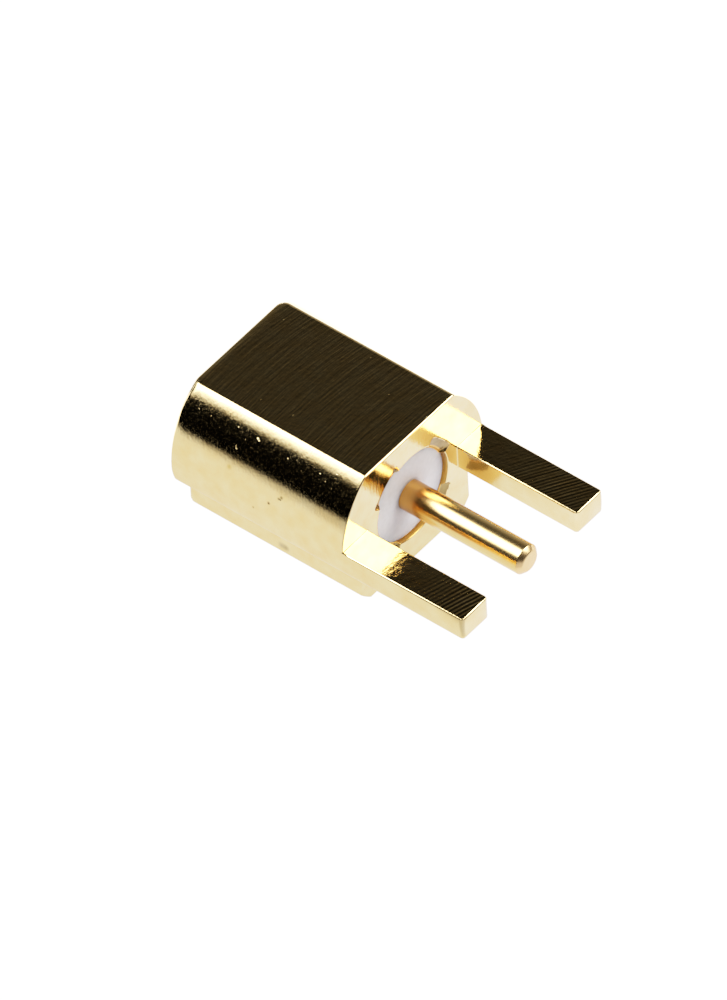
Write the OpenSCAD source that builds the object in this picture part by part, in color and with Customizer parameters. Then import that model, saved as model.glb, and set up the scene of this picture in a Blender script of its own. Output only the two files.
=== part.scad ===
// Board-edge coaxial jack: a gold-plated brass body with two ground legs,
// a white insulator staked into its rear bore, and a centre contact with a solder pin.
// Millimetres. The axis of the contact is X, the legs and the pin point to +X, +Z is up,
// and the origin is on that axis at the body's rear face.

/* [Body] */
// Diameter of the bar that the body and the legs are cut from
bar_d = 5.08; // [4.8:0.02:6]
// Length of the body from its mating face to its rear face
body_len = 5.05; // [4.4:0.05:8]
// Height of the top flat above the axis
top_flat_h = 1.98; // [1.8:0.02:2.2]
// Width of the keel below the board plane
keel_w = 3.9; // [3.3:0.05:4.3]
// Depth of the keel's flat bottom below the axis
keel_depth = 1.95; // [1.7:0.01:2.2]
// Edge break on the ends of the body and of the legs
edge_break = 0.05; // [0.02:0.01:0.12]

/* [Legs] */
// Length of the ground legs beyond the rear face
leg_len = 3.45; // [2:0.05:6]
// Thickness of each leg
leg_t = 0.68; // [0.4:0.02:0.9]
// Clear width between the two legs
leg_gap = 3.2; // [2.9:0.02:4]
// How far the solder pin hangs above the board plane that the legs rest on
pin_lift = 0.04; // [0:0.01:0.15]

/* [Mating bore] */
// Diameter of the bore that takes the mating plug
bore_d = 2.4; // [2.2:0.02:2.5]
// Depth of that bore, down to the insulator
bore_depth = 3.1; // [2.6:0.05:3.6]
// Diameter of the lead-in cone at the mating face
mouth_d = 2.9; // [2.6:0.05:3.2]
// Depth of the lead-in cone
mouth_depth = 0.3; // [0.1:0.05:0.5]
// Diameter of the groove that the plug's spring ring snaps into
groove_d = 2.72; // [2.6:0.02:3]
// Distance from the mating face to the groove
groove_pos = 0.75; // [0.6:0.05:1]
// Width of the groove's floor
groove_w = 0.25; // [0.1:0.05:0.5]

/* [Insulator] */
// Diameter of the insulator and of the rear bore that holds it
insulator_d = 2.6; // [2.54:0.02:2.8]
// How far the insulator's end lies inside the rear face
insulator_recess = 0.11; // [0.02:0.01:0.3]

/* [Stake marks] */
// Number of chisel marks that hold the insulator in
stake_count = 4; // [2:1:6]
// Length of each mark along the bore's rim
stake_len = 0.8; // [0.4:0.05:1]
// Width of each mark on the rear face
stake_w = 0.26; // [0.1:0.02:0.4]
// Depth of each mark
stake_depth = 0.12; // [0.04:0.01:0.2]
// Distance from the rear bore's rim out to the middle of a mark
stake_offset = 0.13; // [0:0.01:0.25]
// Turn of the first mark from the leg's side
stake_turn = 45; // [0:1:90]

/* [Centre contact] */
// Diameter of the solder pin
pin_d = 0.76; // [0.56:0.02:0.86]
// Length of the solder pin beyond the rear face
pin_len = 3.43; // [2:0.05:6]
// Chamfer at the solder pin's tip
pin_chamfer = 0.12; // [0.05:0.01:0.25]
// Height of the barb that holds the contact in the insulator
barb_h = 0.05; // [0.02:0.01:0.1]
// Length of that barb
barb_len = 0.6; // [0.3:0.05:1]
// Outer diameter of the socket in the mating bore
socket_d = 0.92; // [0.9:0.02:1.2]
// How far the socket's tip lies inside the mating face
socket_recess = 0.9; // [0.6:0.05:1.4]
// Diameter of the socket's hole
socket_hole_d = 0.42; // [0.36:0.02:0.5]
// Depth of the socket's hole
socket_hole_depth = 1.4; // [1:0.05:1.6]
// Lead-in at the mouth of the socket's hole and edge break round its tip
socket_edge = 0.05; // [0.02:0.01:0.08]
// Number of saw cuts across the socket
saw_cuts = 2; // [1:1:3]
// Width of a saw cut
saw_w = 0.1; // [0.06:0.01:0.14]
// Length of a saw cut
saw_len = 1.1; // [0.6:0.05:1.3]

/* [Hidden] */
$fn = 96;

// Room that a cutting shape reaches past the face it opens
overshoot = 1;
// Included angle of the drill that made the socket's hole
drill_angle = 118;

// The legs rest on the board plane, and the pin hangs just above it
board_z = -(pin_d / 2 + pin_lift);
leg_top_z = board_z + leg_t;
mating_x = -body_len;
shoulder_x = mating_x + bore_depth;
insulator_end_x = -insulator_recess;
socket_tip_x = mating_x + socket_recess;
groove_rise = (groove_d - bore_d) / 2;
// A sharp-edged wheel of this radius and half width leaves a mark of the stated sizes
stake_wheel_r = (pow(stake_len / 2, 2) + pow(stake_depth, 2)) / (2 * stake_depth);
stake_wheel_w = stake_wheel_r * stake_w / 2 / stake_depth;
drill_point = socket_hole_d / 2 / tan(drill_angle / 2);
// The barb's steep side faces the socket, so a push from that side can't free the contact
barb = [
    [pin_d / 2, insulator_end_x - barb_len],
    [pin_d / 2 + barb_h, insulator_end_x - barb_len],
    [pin_d / 2, insulator_end_x]
];
// The legs start this far inside the body, past its edge break
leg_root = 4 * edge_break;

// Turns a profile of [radius, position] points about the X axis
module turned(points) {
    rotate([0, 90, 0])
        rotate_extrude()
            polygon(points);
}

// Round bar along X with an edge break at both ends
module eased_bar(x0, x1, d) {
    turned([
        [0, x0],
        [d / 2 - edge_break, x0],
        [d / 2, x0 + edge_break],
        [d / 2, x1 - edge_break],
        [d / 2 - edge_break, x1],
        [0, x1]
    ]);
}

// Rectangle with its four corners cut off
function cut_corners(u0, u1, v0, v1) = [
    [u0 + edge_break, v0],
    [u1 - edge_break, v0],
    [u1, v0 + edge_break],
    [u1, v1 - edge_break],
    [u1 - edge_break, v1],
    [u0 + edge_break, v1],
    [u0, v1 - edge_break],
    [u0, v0 + edge_break]
];

// Block with an edge break round both of its end faces
module eased_block(x0, x1, y0, y1, z0, z1) {
    intersection() {
        translate([0, y1, 0])
            rotate([90, 0, 0])
                linear_extrude(y1 - y0)
                    polygon(cut_corners(x0, x1, z0, z1));
        translate([0, 0, z0])
            linear_extrude(z1 - z0)
                polygon(cut_corners(x0, x1, y0, y1));
    }
}

// The bar milled to a flat on top and to a narrower keel below the board plane
module milled_bar() {
    intersection() {
        eased_bar(mating_x, 0, bar_d);
        union() {
            eased_block(mating_x, 0, -bar_d, bar_d, board_z, top_flat_h);
            eased_block(mating_x, 0, -keel_w / 2, keel_w / 2, -keel_depth, leg_top_z);
        }
    }
}

// One ground leg, left standing from the bar when the rest behind the rear face is milled off
module leg() {
    intersection() {
        eased_bar(-leg_root, leg_len, bar_d);
        eased_block(-leg_root, leg_len, leg_gap / 2, bar_d, board_z, leg_top_z);
    }
}

// The stepped hole through the body: mouth, snap groove, mating bore and insulator seat
module through_bore() {
    turned([
        [0, mating_x - overshoot],
        [mouth_d / 2, mating_x - overshoot],
        [mouth_d / 2, mating_x],
        [bore_d / 2, mating_x + mouth_depth],
        [bore_d / 2, mating_x + groove_pos],
        [groove_d / 2, mating_x + groove_pos + groove_rise],
        [groove_d / 2, mating_x + groove_pos + groove_rise + groove_w],
        [bore_d / 2, mating_x + groove_pos + 2 * groove_rise + groove_w],
        [bore_d / 2, shoulder_x],
        [insulator_d / 2, shoulder_x],
        [insulator_d / 2, overshoot],
        [0, overshoot]
    ]);
}

// Chisel marks on the rear face that press the bore's rim onto the insulator
module stake_marks() {
    for (i = [0 : stake_count - 1])
        rotate([stake_turn + i * 360 / stake_count, 0, 0])
            translate([stake_wheel_r - stake_depth, insulator_d / 2 + stake_offset, 0])
                rotate([90, 0, 0])
                    rotate_extrude()
                        polygon([[0, -stake_wheel_w], [stake_wheel_r, 0], [0, stake_wheel_w]]);
}

module body() {
    color("gold")
        difference() {
            union() {
                milled_bar();
                leg();
                mirror([0, 1, 0])
                    leg();
            }
            through_bore();
            stake_marks();
        }
}

module insulator() {
    color("whitesmoke")
        turned(concat([
            [pin_d / 2, shoulder_x]
        ], barb, [
            [insulator_d / 2, insulator_end_x],
            [insulator_d / 2, shoulder_x]
        ]));
}

// Saw cuts that let the socket's fingers spring
module socket_cuts() {
    for (i = [0 : saw_cuts - 1])
        rotate([i * 180 / saw_cuts, 0, 0])
            translate([socket_tip_x - overshoot, -socket_d, -saw_w / 2])
                cube([overshoot + saw_len, 2 * socket_d, saw_w]);
}

module centre_contact() {
    color("goldenrod")
        difference() {
            turned(concat([
                [0, socket_tip_x + socket_hole_depth + drill_point],
                [socket_hole_d / 2, socket_tip_x + socket_hole_depth],
                [socket_hole_d / 2, socket_tip_x + socket_edge],
                [socket_hole_d / 2 + socket_edge, socket_tip_x],
                [socket_d / 2 - socket_edge, socket_tip_x],
                [socket_d / 2, socket_tip_x + socket_edge],
                [socket_d / 2, shoulder_x],
                [pin_d / 2, shoulder_x]
            ], barb, [
                [pin_d / 2, pin_len - pin_chamfer],
                [pin_d / 2 - pin_chamfer, pin_len],
                [0, pin_len]
            ]));
            socket_cuts();
        }
}

body();
insulator();
centre_contact();
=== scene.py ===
# %% [markdown]
# This lesson dresses a small board-edge jack: a gold-plated brass body with two ground legs,
# a white insulator and a centre contact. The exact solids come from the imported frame, which says
# where everything is. Gold plating is a mirror, so its look is made of three things together:
# true shapes with rounded edges, a little tool texture, and a studio worth reflecting.

# %% Load the frame
import math

import bmesh
import bpy
from mathutils import Matrix, Vector


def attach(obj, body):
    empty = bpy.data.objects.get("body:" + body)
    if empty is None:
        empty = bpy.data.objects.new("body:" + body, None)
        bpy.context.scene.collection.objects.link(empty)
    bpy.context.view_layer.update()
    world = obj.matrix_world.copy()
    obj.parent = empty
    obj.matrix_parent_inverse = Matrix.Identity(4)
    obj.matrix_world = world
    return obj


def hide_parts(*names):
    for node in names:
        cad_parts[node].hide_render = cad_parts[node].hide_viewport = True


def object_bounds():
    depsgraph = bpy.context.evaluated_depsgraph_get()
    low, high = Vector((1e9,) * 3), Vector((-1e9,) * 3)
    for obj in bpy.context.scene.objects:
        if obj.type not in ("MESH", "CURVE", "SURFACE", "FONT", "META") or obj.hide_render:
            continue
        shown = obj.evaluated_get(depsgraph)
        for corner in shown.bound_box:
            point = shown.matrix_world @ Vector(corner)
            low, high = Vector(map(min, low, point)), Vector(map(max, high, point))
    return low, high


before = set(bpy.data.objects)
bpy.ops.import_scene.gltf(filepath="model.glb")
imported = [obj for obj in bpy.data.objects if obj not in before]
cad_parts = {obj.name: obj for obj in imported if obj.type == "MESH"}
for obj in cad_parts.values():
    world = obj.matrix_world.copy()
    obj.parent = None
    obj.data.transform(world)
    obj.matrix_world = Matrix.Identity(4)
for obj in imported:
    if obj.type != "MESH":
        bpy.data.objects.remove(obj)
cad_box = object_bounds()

scene = bpy.context.scene
print("CAD box in mm", [[round(1000 * c, 3) for c in corner] for corner in cad_box])

# %% [markdown]
# The camera comes first, because a mirror finish can only be judged from the right place. The view is
# from above on the side of the solder pin, through a long lens, so the edges stay nearly parallel.
# Its angles, in degrees, were found by matching the part's outline, and its place follows from them.

# %% Camera
MM = 0.001
VIEW_AZIMUTH, VIEW_ELEVATION, VIEW_ROLL = 41.382, 46.530, -3.388
VIEW_DISTANCE_MM = 666.7
PIXELS_PER_MM = 44.26
FRAME_W, FRAME_H = 727, 1000
# Where the part's origin falls in the picture, in pixels
ORIGIN_X, ORIGIN_Y = 414.1, 496.95
SENSOR_MM = 36

az, el, roll = (math.radians(a) for a in (VIEW_AZIMUTH, VIEW_ELEVATION, VIEW_ROLL))
view_back = Vector((math.sin(az) * math.cos(el), -math.cos(az) * math.cos(el), math.sin(el)))
level_right = Vector((math.cos(az), math.sin(az), 0))
level_up = view_back.cross(level_right)
view_right = math.cos(roll) * level_right + math.sin(roll) * level_up
view_up = view_back.cross(view_right)

aside = (ORIGIN_X - FRAME_W / 2) / PIXELS_PER_MM
above = (FRAME_H / 2 - ORIGIN_Y) / PIXELS_PER_MM
place = view_back * VIEW_DISTANCE_MM - view_right * aside - view_up * above

lens = bpy.data.cameras.new("studio_camera")
lens.sensor_width = SENSOR_MM
lens.lens = PIXELS_PER_MM * VIEW_DISTANCE_MM / FRAME_H * SENSOR_MM
# Nearest and farthest distance that the camera sees, in metres
lens.clip_start, lens.clip_end = 0.01, 10
camera = bpy.data.objects.new("studio_camera", lens)
turn = Matrix((view_right, view_up, view_back)).transposed().to_4x4()
camera.matrix_world = Matrix.Translation(place * MM) @ turn
scene.collection.objects.link(camera)
scene.camera = camera
print("camera lens mm", round(lens.lens, 1))

# %% [markdown]
# A camera doesn't record light in proportion: bright tones are pressed together towards white, and gold
# turns paler there and deeper in the shade. The simplest such response, one minus e to the minus light,
# is set as a curve on the scene's colour management, so the materials can keep their true colours.

# %% Film response
# Amount of light that comes out as full white, and a little more for paper that is burnt out to white
FILM_WHITE = 2.8
BURNT_OUT = FILM_WHITE + 0.1
scene.view_settings.view_transform = "Standard"
scene.view_settings.look = "None"
scene.view_settings.use_curve_mapping = True
film = scene.view_settings.curve_mapping
film.white_level = (FILM_WHITE, FILM_WHITE, FILM_WHITE)
# The last of the four curves acts on all colours together
film_curve = film.curves[3]
for light in (0.1, 0.2, 0.4, 0.6, 0.9, 1.2, 1.5, 1.9):
    film_curve.points.new(light / FILM_WHITE, 1 - math.exp(-light))
film.update()
print("film points", len(film_curve.points))

# %% [markdown]
# Two small helpers serve every piece. One turns a hex colour, as a paint shop would name it, into the
# linear numbers that Blender mixes light with. The other adds one node, sets it up and wires it.

# %% Helpers for colours and nodes
def linear(hex_colour):
    """sRGB hex such as 'F9D995' as linear red, green, blue and alpha."""
    parts = [int(hex_colour[i:i + 2], 16) / 255 for i in (0, 2, 4)]
    return [c / 12.92 if c <= 0.04045 else ((c + 0.055) / 1.055) ** 2.4 for c in parts] + [1.0]


def add(tree, kind, inputs=None, stops=(), **settings):
    """Adds one node; an input is a value or a socket, and stops are a colour ramp's places and colours."""
    node = tree.nodes.new(kind)
    for name, value in settings.items():
        setattr(node, name, value)
    for key, value in (inputs or {}).items():
        if isinstance(value, bpy.types.NodeSocket):
            tree.links.new(value, node.inputs[key])
        else:
            node.inputs[key].default_value = value
    for index, (position, colour) in enumerate(stops):
        elements = node.color_ramp.elements
        element = elements[index] if index < len(elements) else elements.new(position)
        element.position = position
        element.color = linear(colour)
    return node


def new_material(name):
    """An empty material and its tree."""
    material = bpy.data.materials.new(name)
    material.use_nodes = True
    material.node_tree.nodes.clear()
    return material, material.node_tree


# %% [markdown]
# A mirror shows the room. This studio has a white paper floor that rises behind the part, a large soft
# box on the left, another on the right, and a black room. The dark bands on the gold are that room and
# the bright ones are the boxes. Painting the boxes on the world by direction keeps the render clean.

# %% Studio lights
world = bpy.data.worlds.new("studio")
scene.world = world
world.use_nodes = True
sky = world.node_tree
sky.nodes.clear()
towards = add(sky, "ShaderNodeTexCoord").outputs["Generated"]


def glow(centre, inner_deg, outer_deg, power, stops):
    """Light that fades with the angle from a direction, between two angles."""
    facing = add(sky, "ShaderNodeVectorMath", {0: towards, 1: Vector(centre).normalized()},
                 operation="DOT_PRODUCT")
    spread = add(sky, "ShaderNodeMapRange", {
        "Value": facing.outputs["Value"],
        "From Min": math.cos(math.radians(outer_deg)),
        "From Max": math.cos(math.radians(inner_deg)),
    })
    ramp = add(sky, "ShaderNodeValToRGB", {"Fac": spread.outputs["Result"]}, stops=stops)
    return add(sky, "ShaderNodeVectorMath", {0: ramp.outputs["Color"], "Scale": power}, operation="SCALE")


# Each light has a direction, the angles in degrees between which it fades, a power and a fading edge
left_edge = [(0, "000000"), (0.11, "030303"), (0.2, "141414"), (0.32, "4A4A4A"), (0.43, "747474"),
             (0.537, "939393"), (0.72, "C4C4C4"), (0.88, "EAEAEA"), (1, "FFFFFF")]
left_box = glow((-0.507, -0.305, 0.808), 10, 33, 20, left_edge)
right_edge = [(0, "000000"), (0.14, "191919"), (0.52, "626262"), (0.86, "E1E1E1"), (1, "FFFFFF")]
right_box = glow((0.451, 0.518, 0.727), 16, 30, 17, right_edge)
paper_edge = [(0, "000000"), (0.1, "1B1A17"), (0.32, "3D3A34"), (0.56, "747067"), (0.82, "AEA9A0"),
              (1, "E7E4E0")]
rising_paper = glow((-0.58, 0.81, -0.05), 5, 55, 1, paper_edge)
print("lights", sum(node.bl_idname == "ShaderNodeValToRGB" for node in sky.nodes))

# %% [markdown]
# The lights are added up for the gold to mirror. The camera itself sees plain white behind the part, as
# in a picture on burnt-out paper, and the Light Path node tells the two apart.

# %% World
boxes = add(sky, "ShaderNodeVectorMath", {0: left_box.outputs[0], 1: right_box.outputs[0]})
total = add(sky, "ShaderNodeVectorMath", {0: boxes.outputs[0], 1: rising_paper.outputs[0]})
lit = add(sky, "ShaderNodeBackground", {"Color": total.outputs[0], "Strength": 1.0})
plain = add(sky, "ShaderNodeBackground", {"Color": linear("FFFFFF"), "Strength": BURNT_OUT})
seen = add(sky, "ShaderNodeLightPath").outputs["Is Camera Ray"]
either = add(sky, "ShaderNodeMixShader", {0: seen, 1: lit.outputs[0], 2: plain.outputs[0]})
add(sky, "ShaderNodeOutputWorld", {"Surface": either.outputs[0]})
print("world nodes", len(sky.nodes))

# %% [markdown]
# The floor is white paper in a pool of light that fades a few centimetres out. To the eye it is burnt
# out to plain white. The gold mirrors it as glowing paper that is cooler on the right, dimmer in front,
# where the part shades it, and brighter behind.

# %% Floor
FLOOR_R, FLOOR_GAP = 150 * MM, 0.02 * MM
floor_bm = bmesh.new()
bmesh.ops.create_circle(floor_bm, cap_ends=True, segments=96, radius=FLOOR_R)
bmesh.ops.translate(floor_bm, verts=floor_bm.verts, vec=(0, 0, cad_box[0][2] - FLOOR_GAP))
floor_mesh = bpy.data.meshes.new("floor")
floor_bm.to_mesh(floor_mesh)
floor_bm.free()
floor = bpy.data.objects.new("floor", floor_mesh)
scene.collection.objects.link(floor)
print("floor at mm", round(1000 * (cad_box[0][2] - FLOOR_GAP), 3))

# %% Floor finish
# Glowing paper: to the eye an even white without gloss, to the gold a painted pool of light
floor_finish, tree = new_material("paper_painted_glow")
where = add(tree, "ShaderNodeTexCoord").outputs["Object"]
far = add(tree, "ShaderNodeVectorMath", {0: where}, operation="LENGTH")
share = add(tree, "ShaderNodeMath", {0: far.outputs["Value"], 1: FLOOR_R}, operation="DIVIDE")
pool = add(tree, "ShaderNodeValToRGB", {"Fac": share.outputs[0]}, stops=[
    (0.07, "C3C3C3"), (0.12, "C0C0C0"), (0.187, "BCBCBC"), (0.33, "7C7C7C"), (0.5, "262626"),
    (1, "0C0C0C")])
axes = add(tree, "ShaderNodeSeparateXYZ", {0: where})
to_right = add(tree, "ShaderNodeMath", {0: axes.outputs["X"], 1: axes.outputs["Y"]})
to_front = add(tree, "ShaderNodeMath", {0: axes.outputs["X"], 1: axes.outputs["Y"]}, operation="SUBTRACT")
# Painted light, cooler on the right, over the width of the part
sideways = add(tree, "ShaderNodeMath", {0: to_right.outputs[0], 1: 3.5 * MM}, operation="DIVIDE")
cooler = add(tree, "ShaderNodeValToRGB", {"Fac": sideways.outputs[0]}, stops=[(0, "D8D8D8"), (1, "E9ECFF")])
# Painted shade in front of the part and painted light behind it, both from a few millimetres away
shade = add(tree, "ShaderNodeMapRange", {
    "Value": to_front.outputs[0], "From Min": 6.2 * MM, "From Max": 8.2 * MM,
    "To Min": 4.6, "To Max": 2.7}, interpolation_type="SMOOTHSTEP")
behind = add(tree, "ShaderNodeMapRange", {
    "Value": to_front.outputs[0], "From Min": -4.5 * MM, "From Max": -8 * MM, "To Min": 1.0, "To Max": 2.4})
power = add(tree, "ShaderNodeMath", {0: shade.outputs["Result"], 1: behind.outputs["Result"]},
            operation="MULTIPLY")
tint = add(tree, "ShaderNodeVectorMath", {0: pool.outputs["Color"], 1: cooler.outputs["Color"]},
           operation="MULTIPLY")
glowing = add(tree, "ShaderNodeEmission", {"Color": tint.outputs[0], "Strength": power.outputs[0]})
plain = add(tree, "ShaderNodeEmission", {"Color": linear("FFFFFF"), "Strength": BURNT_OUT})
seen = add(tree, "ShaderNodeLightPath").outputs["Is Camera Ray"]
either = add(tree, "ShaderNodeMixShader", {0: seen, 1: glowing.outputs[0], 2: plain.outputs[0]})
add(tree, "ShaderNodeOutputMaterial", {"Surface": either.outputs[0]})
floor_mesh.materials.append(floor_finish)
print("floor finish nodes", len(tree.nodes))

# %% [markdown]
# Gold plating over brass is a warm mirror. What the eye reads as workmanship is the tool's texture under
# the plating: fine rings on the turned sides, arcs of a wide cutter on the milled flats, upright lines
# where a cutter's side ran along a wall. One function makes each variant from the spacing of the marks
# in millimetres along X, Y and Z. Two helpers come first: one for anything that happens near a place,
# and one that bends straight marks into the arcs of a cutter.

# %% Helpers for places and arcs
GOLD, GOLD_DEEP = "FADD9D", "F5D089"
# Feed of the slot cutter, and the length of one band of Blender's wave pattern at scale 1
FEED_MM, WAVE_PERIOD = 0.11, math.pi / 10
# Sizes of the plating's grain, pores and clouds of tone. Real grain and pores are finer than the picture
# can show, so they are drawn this coarse.
GRAIN_MM, PORES_MM, CLOUD_MM = 0.1, 0.05, 0.4


def near(tree, where, place_mm, radius_mm, low, high):
    """A value that goes from low, at a radius from a place and beyond, to high at the place."""
    gap = add(tree, "ShaderNodeVectorMath", {0: where, 1: [c * MM for c in place_mm]}, operation="DISTANCE")
    return add(tree, "ShaderNodeMapRange", {
        "Value": gap.outputs["Value"], "From Min": radius_mm * MM, "From Max": 0.0,
        "To Min": low, "To Max": high}, interpolation_type="SMOOTHSTEP").outputs["Result"]


def cutter_arcs(tree, where, cutter_r, centre_y):
    """Coordinates in which the arcs of a cutter of this radius are straight lines along Y."""
    axes = add(tree, "ShaderNodeSeparateXYZ", {0: where})
    off = add(tree, "ShaderNodeMath", {0: axes.outputs["Y"], 1: centre_y * MM}, operation="SUBTRACT")
    square = add(tree, "ShaderNodeMath", {0: off.outputs[0], 1: off.outputs[0]}, operation="MULTIPLY")
    bent = add(tree, "ShaderNodeMath", {
        0: square.outputs[0], 1: -0.5 / (cutter_r * MM), 2: axes.outputs["X"]}, operation="MULTIPLY_ADD")
    return add(tree, "ShaderNodeCombineXYZ", {
        "X": bent.outputs[0], "Y": axes.outputs["Y"], "Z": axes.outputs["Z"]}).outputs[0]


# %% [markdown]
# The height of the surface is added up in micrometres: the tool marks, deeper in the worn places, the
# steps of the cutter's feed, the grain of the plating, and single dents.

# %% Relief of the plating
UM = 1e-6


def tool_relief(tree, where, marks_mm, depth_um, cutter, worn, feed, grain_um, dents):
    """Normals that lean as the tool's marks, the plating's grain and the dents make them."""
    path = cutter_arcs(tree, where, *cutter) if cutter else where
    along = add(tree, "ShaderNodeMapping", {"Vector": path, "Scale": [1 / (s * MM) for s in marks_mm]})
    marks = add(tree, "ShaderNodeTexNoise", {
        "Vector": along.outputs[0], "Scale": 1.0, "Detail": 4.0, "Roughness": 0.6})
    height = add(tree, "ShaderNodeMath", {
        0: marks.outputs["Fac"], 1: depth_um * UM}, operation="MULTIPLY").outputs[0]
    for place_mm, radius, times in worn:
        zone = near(tree, where, place_mm, radius, 1.0, times)
        height = add(tree, "ShaderNodeMath", {0: height, 1: zone}, operation="MULTIPLY").outputs[0]
    for place_mm, radius, feed_um in feed:
        lines = add(tree, "ShaderNodeTexWave", {
            "Vector": path, "Scale": WAVE_PERIOD / (FEED_MM * MM), "Distortion": 2.0, "Detail": 2.0,
            "Detail Scale": 0.3})
        zone = near(tree, where, place_mm, radius, 0.0, feed_um * UM)
        height = add(tree, "ShaderNodeMath", {
            0: lines.outputs["Fac"], 1: zone, 2: height}, operation="MULTIPLY_ADD").outputs[0]
    grain = add(tree, "ShaderNodeTexNoise", {"Vector": where, "Scale": 1 / (GRAIN_MM * MM), "Detail": 3.0})
    height = add(tree, "ShaderNodeMath", {
        0: grain.outputs["Fac"], 1: grain_um * UM, 2: height}, operation="MULTIPLY_ADD").outputs[0]
    for place_mm, radius, rise_um in dents:
        dent = near(tree, where, place_mm, radius, 0.0, rise_um * UM)
        height = add(tree, "ShaderNodeMath", {0: height, 1: dent}).outputs[0]
    return add(tree, "ShaderNodeBump", {"Height": height, "Distance": 1.0, "Strength": 1.0}).outputs[0]


# %% [markdown]
# On top of the relief come the colour, a cloud of two golds with stains and painted shade on it, and the
# gloss, which is a little duller in the pores.

# %% Gold plating
def plated_gold(name, marks_mm, depth_um, roughness, cutter=None, dents=(), worn=(), stains_and_shade=(),
                tones=(GOLD_DEEP, GOLD), grain_um=1.2, feed=(), pores_rough=0.02):
    """Gold plating over tool marks of the given spacing and depth.

    A cutter is its radius and the middle of its arcs in Y. Dents, worn places, stains or painted shade,
    and feed places each have a place and a radius, and then a height, a factor for the marks, a colour or
    a height.
    """
    material, tree = new_material(name)
    where = add(tree, "ShaderNodeTexCoord").outputs["Object"]
    relief = tool_relief(tree, where, marks_mm, depth_um, cutter, worn, feed, grain_um, dents)
    cloud = add(tree, "ShaderNodeTexNoise", {"Vector": where, "Scale": 1 / (CLOUD_MM * MM), "Detail": 3.0})
    colour = add(tree, "ShaderNodeValToRGB", {"Fac": cloud.outputs["Fac"]},
                 stops=[(0.3, tones[0]), (0.7, tones[1])]).outputs["Color"]
    # Each is a real stain or painted shade: a colour mixed in near a place
    for place_mm, radius, hex_colour in stains_and_shade:
        stained_or_shaded = near(tree, where, place_mm, radius, 0.0, 1.0)
        colour = add(tree, "ShaderNodeMixRGB", {
            "Fac": stained_or_shaded, 1: colour, 2: linear(hex_colour)}).outputs[0]
    pores = add(tree, "ShaderNodeTexNoise", {"Vector": where, "Scale": 1 / (PORES_MM * MM), "Detail": 2.0})
    dull = add(tree, "ShaderNodeMapRange", {
        "Value": pores.outputs["Fac"], "From Min": 0.5, "From Max": 0.75,
        "To Min": roughness, "To Max": roughness + pores_rough})
    shader = add(tree, "ShaderNodeBsdfPrincipled", {
        "Base Color": colour, "Metallic": 1.0, "Roughness": dull.outputs["Result"], "Normal": relief})
    add(tree, "ShaderNodeOutputMaterial", {"Surface": shader.outputs[0]})
    return material


# %% [markdown]
# A part that has been handled has small faults, and a mirror shows each of them. Their places are in
# millimetres on the part, so they stay where they are when the part is turned.

# %% Faults of the plating
# Small knocks on the turned side, raised or sunk: place, radius and height in micrometres
KNOCKS = [
    ((-2.91, -1.916, 1.668), 0.05, 7), ((-2.86, -1.93, 1.65), 0.035, 5),
    ((-3.335, -2.158, 1.34), 0.045, 7), ((-3.36, -2.14, 1.37), 0.03, 5),
    ((-2.01, -1.949, 1.629), 0.025, 3), ((-1.1, -1.911, 1.673), 0.025, 3),
    ((-3.48, -1.896, 1.69), 0.025, 3), ((-2.19, -2.487, 0.517), 0.055, -8),
    ((-1.885, -2.417, 0.781), 0.05, -7), ((-3.935, -2.042, 1.511), 0.022, 2.5),
    ((-3.195, -2.01, 1.553), 0.022, 2.5), ((-2.995, -2.068, 1.475), 0.022, 2.5),
    ((-1.57, -2.012, 1.55), 0.022, 2.5), ((-0.9, -1.977, 1.595), 0.022, 2.5),
    ((-0.69, -2.023, 1.536), 0.022, 2.5), ((-0.7, -1.793, 1.799), 0.025, 2.5),
    ((-4.59, -1.944, 1.634), 0.02, 2.5), ((-4.235, -1.949, 1.629), 0.02, 2.5),
]
# Brown spots on the turned side, where dirt has stuck to it
SPOTS = [
    ((-2.19, -2.487, 0.517), 0.06, "6E5426"), ((-1.87, -2.405, 0.82), 0.07, "8A7440"),
    ((-1.94, -2.42, 0.76), 0.05, "8A7440"), ((-4.155, -2.466, -0.61), 0.06, "B98A3C"),
    ((-2.62, -2.535, 0.155), 0.05, "B49A60"), ((-3.4, -2.388, 0.867), 0.1, "D9B56A"),
]
# Specks on the top flat and nicks along its rear edge
SPECKS = [
    ((-2.262, 1.368, 1.98), 0.035, 4), ((-1.208, 0.716, 1.98), 0.03, 4), ((-3.427, -1.135, 1.98), 0.035, 4),
    ((-4.59, 1.112, 1.98), 0.03, 4), ((-2.54, -1.075, 1.98), 0.03, 4), ((-0.07, 0.3, 1.98), 0.05, -9),
    ((-0.065, -0.2, 1.98), 0.045, -9), ((-0.07, -0.54, 1.98), 0.04, -8), ((-0.085, 0.67, 1.98), 0.05, -9),
]
# The ends of the legs, where the slot cutter chattered, and a worn patch at the root of the near leg
NEAR_LEG_END, FAR_LEG_END, NEAR_LEG_ROOT = (3.3, -2.05, 0.26), (2.6, 2.05, 0.26), (1.45, -2.3, 0.26)
print("faults", len(KNOCKS), len(SPOTS), len(SPECKS))

# %% [markdown]
# Now each finish gets its own marks. The numbers after the name are the spacing of the marks, their depth
# in micrometres and the roughness.

# %% Gold finishes
# Turned: fine rings fray the edges of what is mirrored, and pores soften them
turned_gold = plated_gold("gold_plate_turned", (0.04, 0.12, 0.12), 2.4, 0.075, dents=KNOCKS, stains_and_shade=SPOTS,
                          grain_um=0.6, pores_rough=0.12)
# Face milled: long, shallow arcs draw fine brown streaks on the dark flat
milled_gold = plated_gold("gold_plate_face_milled", (0.1, 1.4, 1.0), 7.5, 0.12, (14, -0.7), SPECKS,
                          grain_um=2.0)
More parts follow.
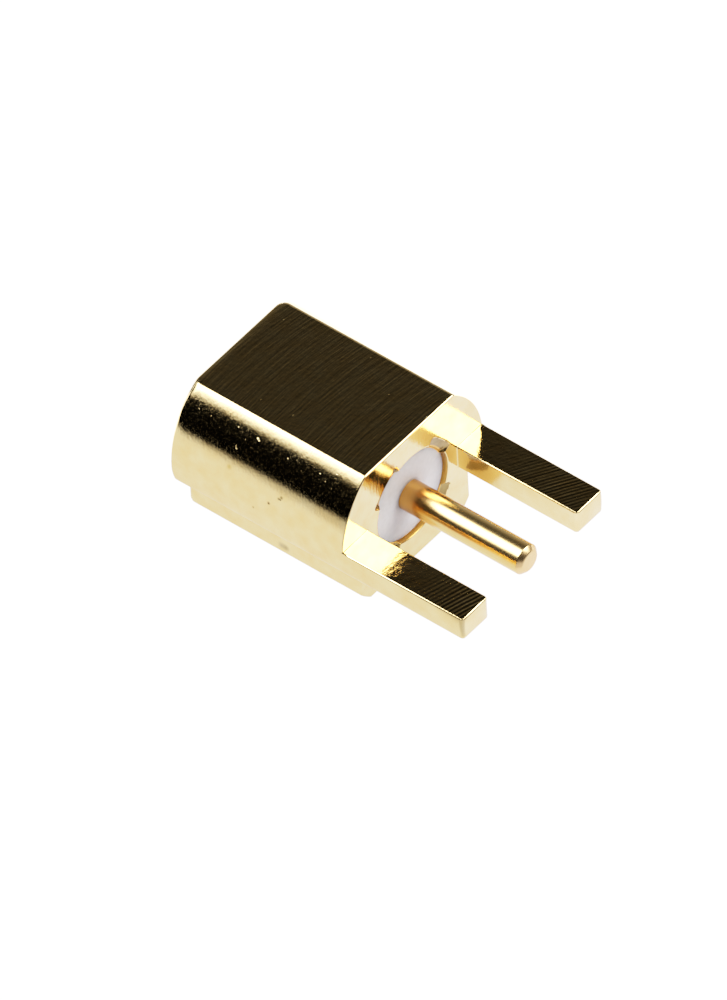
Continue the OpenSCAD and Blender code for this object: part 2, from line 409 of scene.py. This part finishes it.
# Slot milled: smooth and dark at first, with bright arcs of the cutter's steps towards the ends
leg_gold = plated_gold("gold_plate_slot_milled", (0.16, 2.0, 1.0), 1.2, 0.095, (14, -6.3), grain_um=3.0,
                       worn=[(NEAR_LEG_END, 1.7, 6.0), (FAR_LEG_END, 1.9, 5.0), (NEAR_LEG_ROOT, 0.5, 5.5)],
                       feed=[(NEAR_LEG_END, 1.7, 3.0), (FAR_LEG_END, 2.2, 1.5)])
# End wall: a clear mirror with faint upright lines, rougher in one corner
wall_gold = plated_gold("gold_plate_end_wall", (1.0, 0.06, 0.5), 1.5, 0.1,
                        worn=[((0, -1.2, 1.4), 0.55, 4.0)])
# Side walls: a clear mirror with painted shade, warmer and darker, where the legs face each other,
# and one dull oval on the keel
side_gold = plated_gold("gold_plate_side_wall", (0.06, 1.0, 0.5), 1.4, 0.1, grain_um=0.4,
                        dents=[((-2.29, -1.95, -1.43), 0.14, -4)],
                        # Painted shade on the inner faces of the two legs, then the keel's dull oval
                        stains_and_shade=[((0.5, 1.6, -0.08), 0.9, "CDA258"), ((1.2, -1.6, -0.08), 1.8, "CDA258"),
                                ((-2.35, -1.95, -1.43), 0.15, "C6B080"),
                                ((-2.23, -1.95, -1.43), 0.15, "B8A06C")])
# Bored: a deeper orange gold, painted shade and painted reflection of the hole mirroring itself over and
# over
bored_gold_painted_shade = plated_gold("gold_plate_bored_painted_shade", (0.04, 0.3, 0.3), 1.0, 0.2, tones=("DC9F45", "E2A950"))
# Contact: soft bands of light along the pin, and painted shade, deep orange, where it leaves the insulator
contact_gold = plated_gold("gold_plate_contact", (0.03, 0.2, 0.2), 0.5, 0.21, tones=("F4C87B", "F6D18A"),
                           # Painted shade at the pin's root, next to the insulator
                           grain_um=0.3, stains_and_shade=[((0.05, 0, 0), 1.15, "B9701A")])
# Contact tip: the same gold, with a broader and duller glint
tip_gold = plated_gold("gold_plate_contact_tip", (0.1, 0.1, 0.1), 0.2, 0.28, tones=("F3C078", "F6CA88"),
                       grain_um=0.2)
# Tumbled edges: soft bright lines round the legs
edge_gold = plated_gold("gold_plate_tumbled_edge", (0.2, 0.2, 0.2), 0.6, 0.2, grain_um=0.6)
# Punched: dull brown facets, torn a little by the chisel; the brown is painted shade of the dent
punched_gold_painted_shade = plated_gold("gold_plate_punched_painted_shade", (0.1, 0.1, 0.1), 2.0, 0.25, tones=("8F7440", "B0925A"))
print("gold finishes", sum(m.name.startswith("gold_plate") for m in bpy.data.materials))

# %% [markdown]
# The insulator is turned from PTFE, a white plastic with a waxy, faintly clouded look. Light goes a
# little way in before it comes out, which softens its shadows.

# %% PTFE
# Turned PTFE gives the eye a soft, milky white with hardly any gloss. The two sizes are those of its clouds
# and of the way that light spreads inside.
PTFE_CLOUD_MM, PTFE_DEPTH_MM = 0.12, 2
ptfe, tree = new_material("ptfe_turned")
where = add(tree, "ShaderNodeTexCoord").outputs["Object"]
cloud = add(tree, "ShaderNodeTexNoise", {"Vector": where, "Scale": 1 / (PTFE_CLOUD_MM * MM), "Detail": 2.0})
tone = add(tree, "ShaderNodeValToRGB", {"Fac": cloud.outputs["Fac"]},
           stops=[(0.3, "D3CDCB"), (0.7, "DBD5D3")])
shader = add(tree, "ShaderNodeBsdfPrincipled", {
    "Base Color": tone.outputs["Color"], "Roughness": 0.5, "IOR": 1.38,
    "Subsurface Weight": 0.8, "Subsurface Radius": (0.5, 0.45, 0.4),
    "Subsurface Scale": PTFE_DEPTH_MM * MM})
add(tree, "ShaderNodeOutputMaterial", {"Surface": shader.outputs[0]})
print("plastic", ptfe.name)

# %% [markdown]
# The body starts as a drawing on its rear face: half of the outline, walked point by point, with arcs
# spun about the axis of the bar. All work is in millimetres, because Blender's bevel ignores lengths
# of a few micrometres in metres, and the mesh is scaled down at the end.

# %% Helpers for drawing
# Sizes of the solid in millimetres: the bar, the keel and the legs
BAR_R, BODY_LEN, TOP_Z = 2.54, 5.05, 1.98
KEEL_Y, KEEL_Z, BOARD_Z = 1.95, -1.95, -0.42
LEG_TOP_Z, LEG_Y, LEG_LEN = 0.26, 1.6, 3.45
# The circle on the rear and front faces where the bore is joined on, and the steps of round things
RING_R, RING_STEPS, ARC_STEP_DEG = 1.56, 288, 3
AXIS = (1, 0, 0)


def on_bar(y=None, z=None):
    """A point of the bar's surface, on the +Y side, from one of its coordinates."""
    if y is None:
        return math.sqrt(BAR_R ** 2 - z ** 2), z
    return y, -math.sqrt(BAR_R ** 2 - y ** 2)


def line_to(bm, vert, y, z):
    """A straight edge from the vertex to a point."""
    end = bmesh.ops.extrude_vert_indiv(bm, verts=[vert])["verts"][0]
    end.co = (0, y, z)
    return end


def arc_to(bm, vert, y, z):
    """An arc about the bar's axis from the vertex to a point at the same distance."""
    angle = math.atan2(z, y) - math.atan2(vert.co.z, vert.co.y)
    steps = max(2, round(abs(math.degrees(angle)) / ARC_STEP_DEG))
    spun = bmesh.ops.spin(bm, geom=[vert], cent=(0, 0, 0), axis=AXIS, angle=angle, steps=steps)
    return [v for v in spun["geom_last"] if isinstance(v, bmesh.types.BMVert)][0]


# %% Body outline
body_bm = bmesh.new()
start = body_bm.verts.new((0, 0, TOP_Z))
flat_edge = line_to(body_bm, start, *on_bar(z=TOP_Z))
leg_top = arc_to(body_bm, flat_edge, *on_bar(z=LEG_TOP_Z))
ledge_out = arc_to(body_bm, leg_top, *on_bar(z=BOARD_Z))
ledge_in = line_to(body_bm, ledge_out, KEEL_Y, BOARD_Z)
keel_low = line_to(body_bm, ledge_in, *on_bar(y=KEEL_Y))
keel_base = arc_to(body_bm, keel_low, *on_bar(z=KEEL_Z))
line_to(body_bm, keel_base, 0, KEEL_Z)
leg_corner = line_to(body_bm, leg_top, LEG_Y, LEG_TOP_Z)
leg_foot = line_to(body_bm, leg_corner, LEG_Y, BOARD_Z)
body_bm.edges.new((leg_foot, ledge_in))
print("outline vertices", len(body_bm.verts))

# %% [markdown]
# The half outline is mirrored and filled: one face for each leg's section, and the rest of the plate with
# a round hole in it.

# %% Body faces
# Points closer than this are the same, and edges of an arc lie this close to the bar's surface
SAME, CHORD_SAG = 1e-4, 0.01
bmesh.ops.mirror(body_bm, geom=body_bm.verts[:] + body_bm.edges[:], matrix=Matrix.Identity(4),
                 merge_dist=SAME, axis="Y")
bmesh.ops.remove_doubles(body_bm, verts=body_bm.verts, dist=SAME)


def within(vert, y0, y1, z0, z1):
    """Is the vertex inside this part of the drawing, its border included?"""
    return y0 - SAME <= vert.co.y <= y1 + SAME and z0 - SAME <= vert.co.z <= z1 + SAME


def leg_edges(side):
    """The edges round one leg's section."""
    low, high = sorted((side * LEG_Y, side * BAR_R))
    return [e for e in body_bm.edges if all(within(v, low, high, BOARD_Z, LEG_TOP_Z) for v in e.verts)]


def outer_only(edge):
    """Edges that belong to a leg alone: its share of the bar's surface and of the ledge."""
    middle = (edge.verts[0].co + edge.verts[1].co) / 2
    on_surface = abs(math.hypot(middle.y, middle.z) - BAR_R) < CHORD_SAG
    on_ledge = abs(middle.z - BOARD_Z) < SAME and abs(middle.y) > KEEL_Y
    return on_surface or on_ledge


near_loop, far_loop = leg_edges(-1), leg_edges(1)
face_loop = [e for e in body_bm.edges if e not in near_loop + far_loop or not outer_only(e)]
ring = bmesh.ops.create_circle(body_bm, segments=RING_STEPS, radius=RING_R,
                               matrix=Matrix.Rotation(math.pi / 2, 4, "Y"))
ring_edges = list(dict.fromkeys(e for v in ring["verts"] for e in v.link_edges))
legs = []
for loop in (near_loop, far_loop):
    legs += bmesh.ops.contextual_create(body_bm, geom=loop)["faces"]
plate = bmesh.ops.triangle_fill(body_bm, use_beauty=True, edges=face_loop + ring_edges, normal=AXIS)
plate = [f for f in plate["geom"] if isinstance(f, bmesh.types.BMFace)]
print("leg faces", len(legs), "plate faces", len(plate))

# %% [markdown]
# Extruding the plate and the legs' sections forwards gives the body, and extruding the legs' sections
# backwards gives the legs, as they are left standing from one bar on the real part. Edges between faces
# that lie in one plane are dissolved, so that large faces can shade flat.

# %% Body block and legs
# Faces that differ by less than this count as one plane
ONE_PLANE_DEG = 0.3
made = bmesh.ops.extrude_face_region(body_bm, geom=plate + legs)
moved = [v for v in made["geom"] if isinstance(v, bmesh.types.BMVert)]
bmesh.ops.translate(body_bm, verts=moved, vec=(-BODY_LEN, 0, 0))


def on_ring(vert):
    """Is the vertex on the circle that the bore joins?"""
    return abs(math.hypot(vert.co.y, vert.co.z) - RING_R) < SAME


tube = [f for f in body_bm.faces if all(on_ring(v) for v in f.verts)]
bmesh.ops.delete(body_bm, geom=tube, context="FACES")
leg_faces = [f for f in body_bm.faces if len(f.verts) > 4 and abs(f.calc_center_median().x) < SAME
             and abs(f.calc_center_median().y) > LEG_Y]
for face in leg_faces:
    grown = bmesh.ops.extrude_face_region(body_bm, geom=[face])
    tips = [v for v in grown["geom"] if isinstance(v, bmesh.types.BMVert)]
    bmesh.ops.translate(body_bm, verts=tips, vec=(LEG_LEN, 0, 0))
    if face.is_valid:
        bmesh.ops.delete(body_bm, geom=[face], context="FACES_ONLY")
bmesh.ops.remove_doubles(body_bm, verts=body_bm.verts, dist=SAME)
level = [e for e in body_bm.edges if len(e.link_faces) == 2 and e.calc_face_angle(1) < SAME]
bmesh.ops.dissolve_limit(body_bm, angle_limit=math.radians(ONE_PLANE_DEG), verts=[], edges=level)
bmesh.ops.recalc_face_normals(body_bm, faces=body_bm.faces)
print("legs grown", len(leg_faces), "faces", len(body_bm.faces))

# %% [markdown]
# No edge of a plated part is a knife edge. The cutter leaves its own corner radius where a leg meets the
# rear wall, tumbling rounds the outer edges a little, and the leg ends most. A Bevel modifier takes the
# radius of each edge from its weight, so every kind of edge gets its own.

# %% Edge radii
# Radius of each kind of edge, and the radius that a weight of 1 stands for
EDGE_R = {
    "leg end": 0.11, "leg end top": 0.05, "leg": 0.06, "leg top": 0.04, "leg root": 0.012,
    "leg root upright": 0.033, "rear": 0.033, "rear top": 0.042, "front": 0.07, "flat": 0.052,
    "ledge": 0.02, "keel": 0.04,
}
EDGE_MAX = 0.12
# The legs are cut across here, so that their edges change radius only next to the wall
LEG_ROOT_X = 0.15
# Share of an edge's direction along Z from which it counts as upright
UPRIGHT = 0.7
# Radii of the front corners at the flat and at the ledge and keel; each fades out over a few radii
CORNER_R, LOW_CORNER_R, CORNER_FADE = 0.24, 0.14, 2.5


def edge_kind(edge):
    """What a sharp edge is called, by where it lies."""
    a, b = (v.co for v in edge.verts)
    middle, along = (a + b) / 2, (b - a).normalized()
    upright = abs(along.z) > UPRIGHT
    if middle.x > LEG_LEN - SAME:
        return "leg end" if upright or middle.z < BOARD_Z + SAME else "leg end top"
    if middle.x > SAME:
        return "leg top" if middle.z > LEG_TOP_Z - SAME else "leg"
    if middle.x > -SAME:
        if abs(middle.y) > LEG_Y - SAME and BOARD_Z - SAME < middle.z < LEG_TOP_Z + SAME:
            return "leg root upright" if upright else "leg root"
        return "rear top" if middle.z > TOP_Z - SAME else "rear"
    if middle.x < SAME - BODY_LEN:
        return "front"
    if middle.z > TOP_Z - SAME:
        return "flat"
    return "ledge" if middle.z > BOARD_Z - SAME else "keel"


# %% Edge weights
# Edges that turn by more than this are sharp
SHARP_DEG = 15
for cut_x in (LEG_ROOT_X, CORNER_R - BODY_LEN):
    everything = body_bm.verts[:] + body_bm.edges[:] + body_bm.faces[:]
    bmesh.ops.bisect_plane(body_bm, geom=everything, dist=SAME, plane_co=(cut_x, 0, 0), plane_no=AXIS)
weight = body_bm.edges.layers.float.new("bevel_weight_edge")
sharp = [e for e in body_bm.edges
         if len(e.link_faces) == 2 and e.calc_face_angle(0) > math.radians(SHARP_DEG)]
for edge in sharp:
    edge[weight] = EDGE_R[edge_kind(edge)] / EDGE_MAX
print("sharp edges", len(sharp))

# %% [markdown]
# Modifiers work on objects, so a helper puts the mesh into one for a moment and takes the result out.

# %% Bevel
def with_modifiers(bm, steps):
    """The mesh after modifiers, each given as a kind and its settings."""
    mesh = bpy.data.meshes.new("in_work")
    bm.to_mesh(mesh)
    bm.free()
    work = bpy.data.objects.new("in_work", mesh)
    scene.collection.objects.link(work)
    for kind, settings in steps:
        modifier = work.modifiers.new(kind.lower(), kind)
        for name, value in settings.items():
            setattr(modifier, name, value)
    done = bpy.data.meshes.new_from_object(work.evaluated_get(bpy.context.evaluated_depsgraph_get()))
    result = bmesh.new()
    result.from_mesh(done)
    bpy.data.objects.remove(work)
    bpy.data.meshes.remove(mesh)
    bpy.data.meshes.remove(done)
    return result


body_bm = with_modifiers(body_bm, [("BEVEL", {
    "limit_method": "WEIGHT", "offset_type": "OFFSET", "width": EDGE_MAX, "segments": 4, "profile": 0.5,
    "use_clamp_overlap": True, "miter_outer": "MITER_SHARP"})])
print("faces after the bevel", len(body_bm.faces))

# %% [markdown]
# Tumbling wears corners more than edges, so the front corners of the flat, the ledge and the keel are
# rounder than the edges that meet there. The faces round each corner are cut like a fan, and then the
# square lines round it are drawn in to circles.

# %% Helpers for corners
FAN_STEP_DEG = 9
# How far above and below a corner its fan of cuts reaches, for the flat and ledge and for the keel
FAN_REACH, KEEL_FAN_REACH = 0.6, 0.8


def fan_cut(centre, out, reach):
    """Cuts the faces near a front corner by planes through its centre, fanned from the front outwards."""
    for fan in (math.radians(a) for a in range(FAN_STEP_DEG, 90, FAN_STEP_DEG)):
        # The front face itself stays whole
        faces = [f for f in body_bm.faces if f.normal.x > -0.99
                 and f.calc_center_median().x < CORNER_R - BODY_LEN
                 and abs(f.calc_center_median().z - centre[2]) < reach]
        touched = dict.fromkeys(part for f in faces for part in f.edges[:] + f.verts[:])
        bmesh.ops.bisect_plane(body_bm, geom=faces + list(touched), dist=SAME, plane_co=centre,
                               plane_no=Vector(AXIS) * math.sin(fan) + Vector(out) * math.cos(fan))


def drawn_in(radius, away, x, past_surface):
    """How far a vertex moves along X and inwards at a corner, whose radius fades with the distance away."""
    local_r = max(0, radius - away / CORNER_FADE)
    in_x, in_out = local_r - BODY_LEN - x, past_surface + local_r
    if min(in_x, in_out) <= 0:
        return Vector((0, 0))
    return Vector((in_x, in_out)) * (1 - max(in_x, in_out) / math.hypot(in_x, in_out))


# %% Front corners
keel_edge_z = on_bar(y=KEEL_Y)[1]
for radius, corner_z in ((CORNER_R, TOP_Z), (LOW_CORNER_R, BOARD_Z)):
    for side in (-1, 1):
        centre_y = side * (on_bar(z=corner_z)[0] - radius)
        fan_cut((radius - BODY_LEN, centre_y, corner_z), (0, side, 0), FAN_REACH)
fan_cut((LOW_CORNER_R - BODY_LEN, 0, keel_edge_z + LOW_CORNER_R), (0, 0, -1), KEEL_FAN_REACH)
for vert in body_bm.verts:
    x, y, z = vert.co
    past_bar = abs(y) - on_bar(z=min(z, TOP_Z))[0]
    past_keel = max(KEEL_Z, on_bar(y=min(abs(y), KEEL_Y))[1]) - z
    flat = drawn_in(CORNER_R, abs(z - TOP_Z), x, past_bar)
    ledge = drawn_in(LOW_CORNER_R, abs(z - BOARD_Z), x, past_bar)
    keel = drawn_in(LOW_CORNER_R, KEEL_Y - min(abs(y), KEEL_Y), x, past_keel)
    vert.co = (x + flat.x + ledge.x + keel.x, y - math.copysign(flat.y + ledge.y, y), z + keel.y)
print("faces after the corners", len(body_bm.faces))

# %% [markdown]
# The bore is a turned hole, so its wall is one profile spun about the axis: rear rim, insulator seat,
# mating bore, snap groove and lead-in cone. The rows of faces near the rear rim are close together,
# because the stake marks are pressed into them next.

# %% Bore
# Radii of the rear rim, the mating bore, the groove and the lead-in, and the bore's corner radius
RIM_R, PLUG_R, GROOVE_R, MOUTH_R, BORE_EDGE_R = 1.25, 1.2, 1.36, 1.45, 0.03
SHOULDER_X = -1.95
# How deep the stake marks reach, the number of cuts that make room for them, and the length from which an
# edge of the profile is cut, which spares the rounded corners
STAKE_REACH, STAKE_ROWS, ROW_MIN = 0.2, 15, 0.05
# Radius and position of each corner, from the rear face to the mating face
bore_line = [
    (RING_R, 0), (RIM_R, 0), (RIM_R, -STAKE_REACH), (RIM_R, SHOULDER_X), (PLUG_R, SHOULDER_X),
    (PLUG_R, -3.73), (GROOVE_R, -3.89), (GROOVE_R, -4.14), (PLUG_R, -4.3), (PLUG_R, -4.75),
    (MOUTH_R, -BODY_LEN), (RING_R, -BODY_LEN),
]
bore_bm = bmesh.new()
verts = [bore_bm.verts.new((x, radius, 0)) for radius, x in bore_line]
for pair in zip(verts, verts[1:]):
    bore_bm.edges.new(pair)
corners = [v for v in verts[1:-1] if v.co.x != -STAKE_REACH]
bmesh.ops.bevel(bore_bm, geom=corners, offset=BORE_EDGE_R, offset_type="OFFSET", segments=3, profile=0.5,
                affect="VERTICES", material=-1)
rows = [e for e in bore_bm.edges if e.calc_length() > ROW_MIN
        and min(v.co.x for v in e.verts) > -STAKE_REACH - SAME]
bmesh.ops.subdivide_edges(bore_bm, edges=rows, cuts=STAKE_ROWS)
bmesh.ops.spin(bore_bm, geom=bore_bm.verts[:] + bore_bm.edges[:], cent=(0, 0, 0), axis=AXIS,
               angle=2 * math.pi, steps=RING_STEPS, use_merge=True)
print("bore faces", len(bore_bm.faces))

# %% [markdown]
# Four blows of a blunt chisel hold the insulator: each leaves a dent beside the rim and pushes the rim's
# lip a little over the white plastic. No two blows are alike, so each has its own place and depth.

# %% Stake marks
# Angle in degrees, distance of the chisel's outer line from the axis, half of the angle it spans, and how
# far it pushes the lip
STAKES = [(39.5, 1.42, 18.5, 0.1), (132.5, 1.40, 21.7, 0.04), (225, 1.40, 21, 0.04),
          (312.7, 1.40, 21.7, 0.04)]
# The dent's floor: its slope next to the line, how fast that levels out and where it stops doing so, how
# much the line bulges, the greatest depth, the angle over which the ends rise and the width of the lip
STAKE_SLOPE, STAKE_CURVE, STAKE_LEVEL, STAKE_BULGE = 0.85, 1.2, 0.3, 0.05
STAKE_DROP, STAKE_END_DEG, LIP_W = 0.1, 2.5, 0.1
for vert in bore_bm.verts:
    if vert.co.x < SAME - STAKE_REACH:
        continue
    radius, angle = math.hypot(vert.co.y, vert.co.z), math.degrees(math.atan2(vert.co.z, vert.co.y))
    for stake, line_r, half_deg, push in STAKES:
        away = abs((angle - stake + 180) % 360 - 180)
        bulge = STAKE_BULGE * (1 - (away / half_deg) ** 2)
        inside = line_r + bulge - radius * math.cos(math.radians(away))
        if away > half_deg or inside < 0:
            continue
        share = min(1, (half_deg - away) / STAKE_END_DEG) * (1 + vert.co.x / STAKE_REACH)
        slope = STAKE_SLOPE - STAKE_CURVE * min(inside, STAKE_LEVEL)
        vert.co.x -= min(STAKE_DROP, slope * inside) * share
        pull = 1 - push * share * min(1, inside / LIP_W) / radius
        vert.co.y *= pull
        vert.co.z *= pull
print("stakes", len(STAKES))

# %% [markdown]
# The bore's ends lie on the same circle as the hole in the body, so the two meshes are joined by merging
# their doubles. Every edge should then have two faces.

# %% Join body and bore
SEAM = 0.001
bore_mesh = bpy.data.meshes.new("bore_part")
bore_bm.to_mesh(bore_mesh)
bore_bm.free()
body_bm.from_mesh(bore_mesh)
bpy.data.meshes.remove(bore_mesh)
bmesh.ops.remove_doubles(body_bm, verts=body_bm.verts, dist=SEAM)
bmesh.ops.recalc_face_normals(body_bm, faces=body_bm.faces)
open_edges = [e for e in body_bm.edges if len(e.link_faces) != 2]
print("open edges", len(open_edges))

# %% [markdown]
# Each face takes the finish of the tool that made it, by where it lies and which way it faces: inwards in
# the bore, up on the top flat or on a leg, along the axis on the walls, across on the milled sides. All the
# rest is turned.

# %% Body finishes
FINISHES = {
    "turned": turned_gold, "milled": milled_gold, "leg": leg_gold, "wall": wall_gold,
    "side": side_gold, "bored": bored_gold_painted_shade, "edge": edge_gold, "punched": punched_gold_painted_shade,
}
# Shares of a normal along an axis from which a face counts as level, as facing that way or as leaning
LEVEL, FACING, LEANING = 0.95, 0.7, 0.2
# Depths in millimetres from which a face is in the bore, in a stake mark or inside the bar's surface, how
# far the bore's faces may lie past the rim's radius, and a height between the legs and the flat
BORE_IN, STAKE_IN, BAR_IN, RIM_PAST, ABOVE_LEGS_Z = 0.01, 0.008, 0.02, 0.005, 1


def finish_of(face):
    """The name of a face's finish, by where it lies and which way it faces."""
    middle, looks = face.calc_center_median(), face.normal
    from_axis = math.hypot(middle.y, middle.z)
    if from_axis < RIM_R + RIM_PAST and middle.x < -BORE_IN:
        return "bored"
    if from_axis < RING_R and -STAKE_REACH < middle.x < -STAKE_IN:
        return "punched"
    if middle.x > SAME and LEANING < looks.z < LEVEL:
        return "edge"
    if looks.z > LEVEL:
        return "milled" if middle.z > ABOVE_LEGS_Z else "leg"
    if abs(looks.x) > FACING:
        return "wall"
    if abs(looks.y) > FACING and from_axis <= BAR_R - BAR_IN and middle.z < LEG_TOP_Z:
        return "side"
    return "turned"


finish_names = list(FINISHES)
for face in body_bm.faces:
    face.smooth = True
    face.material_index = finish_names.index(finish_of(face))
print("finishes used", len({face.material_index for face in body_bm.faces}))

# %% [markdown]
# Every piece ends in the same way: scaled to metres, given its materials, and shaded with normals that
# follow the large faces, so that flat faces mirror like flat faces. It rides on the part's one body and
# stands for a solid of the frame.

# %% Helper for pieces
# How much more the large faces count than the small ones, where 50 is even
NORMAL_WEIGHT = 90


def finish_piece(bm, name, node, materials):
    """Writes the millimetre mesh as a piece in metres that stands for a CAD node."""
    bmesh.ops.scale(bm, verts=bm.verts, vec=(MM, MM, MM))
    mesh = bpy.data.meshes.new(name)
    bm.to_mesh(mesh)
    bm.free()
    for material in materials:
        mesh.materials.append(material)
    piece = bpy.data.objects.new(name, mesh)
    scene.collection.objects.link(piece)
    even = piece.modifiers.new("even_normals", "WEIGHTED_NORMAL")
    even.weight = NORMAL_WEIGHT
    even.keep_sharp = True
    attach(piece, "root")
    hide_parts(node)
    return piece


# %% Body
# The rear face of the pictured part lies this much further in than the solid's, with all that is near it
REAR_IN, REAR_ZONE = 0.035, 0.3
rear = [v for v in body_bm.verts if abs(v.co.x) < REAR_ZONE]
bmesh.ops.translate(body_bm, verts=rear, vec=(-REAR_IN, 0, 0))
body = finish_piece(body_bm, "jack_body", "body", FINISHES.values())
print("body triangles", sum(len(p.vertices) - 2 for p in body.data.polygons))

# %% [markdown]
# The insulator and the contact are turned parts, so a profile and a spin make each of them. A corner of
# the profile may have its own radius.

# %% Helper for turned pieces
def spin_profile(points, closed, steps):
    """A turned piece from points of radius, position and corner radius."""
    bm = bmesh.new()
    verts = [bm.verts.new((x, radius, 0)) for radius, x, _ in points]
    for pair in zip(verts, verts[1:]):
        bm.edges.new(pair)
    if closed:
        bm.edges.new((verts[-1], verts[0]))
    for vert, (_, _, corner_r) in zip(verts, points):
        if corner_r:
            bmesh.ops.bevel(bm, geom=[vert], offset=corner_r, offset_type="OFFSET", segments=4, profile=0.5,
                            affect="VERTICES", clamp_overlap=True, material=-1)
    bmesh.ops.spin(bm, geom=bm.verts[:] + bm.edges[:], cent=(0, 0, 0), axis=AXIS,
                   angle=2 * math.pi, steps=steps, use_merge=True)
    bmesh.ops.remove_doubles(bm, verts=bm.verts, dist=SAME)
    bmesh.ops.recalc_face_normals(bm, faces=bm.faces)
    for face in bm.faces:
        face.smooth = True
    return bm


# %% [markdown]
# The insulator is a plain bush between the shoulder in the bore and the stake marks. Its rear end lies a
# little inside the rear face, and its outer edge is well rounded there, which leaves a dark line at the
# rim.

# %% Insulator
PIN_R, RECESS_X = 0.38, -0.14
insulator_bm = spin_profile([
    (PIN_R, SHOULDER_X, 0.01), (RIM_R, SHOULDER_X, 0.02), (RIM_R, RECESS_X, 0.09), (PIN_R, RECESS_X, 0.01)],
    closed=True, steps=192)
insulator = finish_piece(insulator_bm, "jack_insulator", "insulator", [ptfe])
print("insulator faces", len(insulator.data.polygons))

# %% [markdown]
# The contact is one turned pin from end to end: a drilled socket in the mating bore, a step where it rests
# on the insulator, and the solder pin with its chamfer.

# %% Centre contact
PIN_LEN, PIN_CHAMFER = 3.36, 0.12
SOCKET_R, SOCKET_TIP_X, SOCKET_EDGE = 0.46, -4.15, 0.05
HOLE_R, HOLE_END_X, DRILL_POINT = 0.21, -2.75, 0.126
SMALL_R = 0.01
contact_bm = spin_profile([
    (0, HOLE_END_X + DRILL_POINT, 0), (HOLE_R, HOLE_END_X, 0),
    (HOLE_R, SOCKET_TIP_X + SOCKET_EDGE, SMALL_R), (HOLE_R + SOCKET_EDGE, SOCKET_TIP_X, SMALL_R),
    (SOCKET_R - SOCKET_EDGE, SOCKET_TIP_X, SMALL_R), (SOCKET_R, SOCKET_TIP_X + SOCKET_EDGE, SMALL_R),
    (SOCKET_R, SHOULDER_X, SMALL_R), (PIN_R, SHOULDER_X, 0),
    (PIN_R, PIN_LEN - PIN_CHAMFER, 0.015), (PIN_R - PIN_CHAMFER, PIN_LEN, 0.04), (0, PIN_LEN, 0)],
    closed=False, steps=96)
print("contact faces", len(contact_bm.faces))

# %% [markdown]
# Two saw cuts across the socket let its fingers grip the plug's pin. Two thin blades are made, a Boolean
# takes them out of the contact, and the blades are thrown away.

# %% Saw cuts
SAW_W, SAW_LEN = 0.1, 1.1
# The blades reach past the socket's tip and sides
BLADE_PAST, BLADE_DEPTH = 0.2, 1.2
blades = []
for turn_deg in (0, 90):
    blade_bm = bmesh.new()
    middle_x = SOCKET_TIP_X + (SAW_LEN - BLADE_PAST) / 2
    shape = Matrix.Diagonal((SAW_LEN + BLADE_PAST, BLADE_DEPTH, SAW_W, 1))
    bmesh.ops.create_cube(blade_bm, size=1, matrix=Matrix.Rotation(math.radians(turn_deg), 4, "X")
                          @ Matrix.Translation((middle_x, 0, 0)) @ shape)
    blade_mesh = bpy.data.meshes.new("saw_blade")
    blade_bm.to_mesh(blade_mesh)
    blade_bm.free()
    blade = bpy.data.objects.new("saw_blade", blade_mesh)
    scene.collection.objects.link(blade)
    blades.append(blade)
contact_bm = with_modifiers(contact_bm, [
    ("BOOLEAN", {"operation": "DIFFERENCE", "solver": "EXACT", "object": blade}) for blade in blades])
for blade in blades:
    blade_mesh = blade.data
    bpy.data.objects.remove(blade)
    bpy.data.meshes.remove(blade_mesh)
print("contact faces after sawing", len(contact_bm.faces))

# %% [markdown]
# The saw leaves crisp edges on the socket's fingers, and the turned shapes shade smooth. The tip of the
# solder pin gets its own, duller gold.

# %% Contact finish
# Edges that turn by more than this stay sharp
CRISP_DEG = 35
for edge in contact_bm.edges:
    edge.smooth = len(edge.link_faces) == 2 and edge.calc_face_angle(0) < math.radians(CRISP_DEG)
for face in contact_bm.faces:
    face.material_index = int(face.calc_center_median().x > PIN_LEN - PIN_CHAMFER)
contact = finish_piece(contact_bm, "jack_contact", "centre_contact",
                       [contact_gold, tip_gold])
print("contact triangles", sum(len(p.vertices) - 2 for p in contact.data.polygons))
